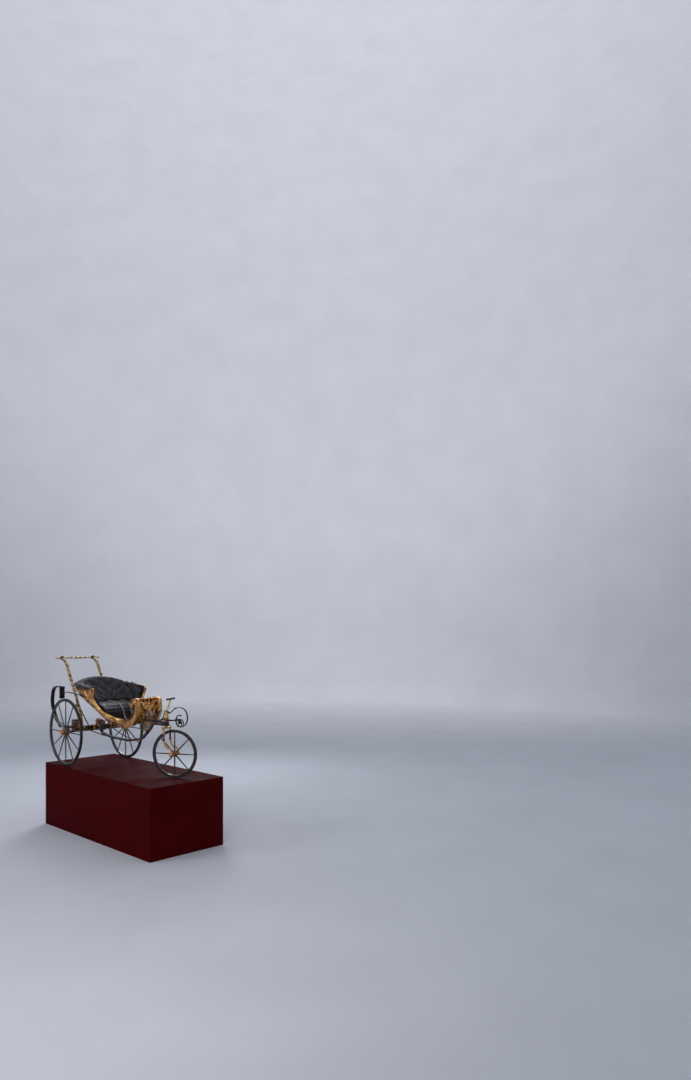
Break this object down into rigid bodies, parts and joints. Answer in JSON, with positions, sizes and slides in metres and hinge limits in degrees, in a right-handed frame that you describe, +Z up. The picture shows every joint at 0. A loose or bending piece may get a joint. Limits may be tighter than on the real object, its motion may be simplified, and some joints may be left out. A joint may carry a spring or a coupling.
{
  "type": "three-wheeled child's push carriage on a plinth",
  "caption": "Gilded push carriage for a child: buttoned leather seat in a carved body, sprung frame, two spoked rear wheels, a steered front wheel and a push handle, standing on a box plinth.",
  "frame": {"origin": "centre of the plinth's underside, on the floor", "axes": "+X forward towards the steered wheel, +Y to the carriage's left, +Z up"},
  "size_m": [1.7309, 0.668, 1.445],
  "materials": {
    "plinth_paint": "matt deep maroon paint on board",
    "tyre_rubber": "black band tyre",
    "black_wood": "black painted wood, worn",
    "gilt": "antique gilding over carved wood",
    "black_iron": "black painted iron",
    "black_leather": "buttoned black leather",
    "seat_wood": "dark stained wood"
  },
  "bodies": {
    "carriage": {"axle_bed": "gilt", "back_squab": "black_leather", "body_shell": "gilt", "front_bar": "black_iron", "front_brace": "black_leather", "front_console": "gilt", "front_scroll_left": "gilt", "front_scroll_right": "gilt", "handle_crossbar": "gilt", "handle_shaft_left": "gilt", "handle_shaft_right": "gilt", "handle_stays": "black_iron", "perch": "black_iron", "perch_block": "black_iron", "perch_stays": "black_iron", "plinth": "plinth_paint", "rear_axle": "black_iron", "rear_brace_left": "black_leather", "rear_brace_right": "black_leather", "rear_spring_left": "black_iron", "rear_spring_right": "black_iron", "rim_moulding_left": "gilt", "rim_moulding_right": "gilt", "seat_board": "seat_wood", "seat_cushion": "black_leather", "spring_shackle_left": "black_iron", "spring_shackle_right": "black_iron", "steering_head": "black_iron"},
    "rear_right_wheel": {"rear_right_tyre": "tyre_rubber", "rear_right_felloes": "black_wood", "rear_right_hub": "gilt", "rear_right_spokes": "black_wood", "rear_right_hub_cap": "gilt"},
    "rear_left_wheel": {"rear_left_tyre": "tyre_rubber", "rear_left_felloes": "black_wood", "rear_left_hub": "gilt", "rear_left_spokes": "black_wood", "rear_left_hub_cap": "gilt"},
    "front_wheel": {"front_tyre": "tyre_rubber", "front_felloes": "black_wood", "front_hub": "gilt", "front_spokes": "black_wood"},
    "steering": {"fork": "gilt", "steering_column": "gilt", "tiller_handle": "black_iron", "front_spring": "black_iron", "spring_bracket": "black_iron"}
  },
  "joints": [
    {"name": "rear_right_wheel_turn", "type": "hinge", "parent": "carriage", "child": "rear_right_wheel", "pos_m": [-0.548, -0.282, 0.8123], "axis": [0, 1, 0], "continuous": true},
    {"name": "rear_left_wheel_turn", "type": "hinge", "parent": "carriage", "child": "rear_left_wheel", "pos_m": [-0.548, 0.282, 0.8123], "axis": [0, 1, 0], "continuous": true},
    {"name": "steering_turn", "type": "hinge", "parent": "carriage", "child": "steering", "pos_m": [0.542, 0, 0.95], "axis": [0, 0, 1], "range_deg": [-72.6, 17.4]},
    {"name": "front_wheel_turn", "type": "hinge", "parent": "steering", "child": "front_wheel", "pos_m": [0.60315, 0.03197, 0.7183], "axis": [-0.4633, 0.8862, 0], "continuous": true}
  ]
}
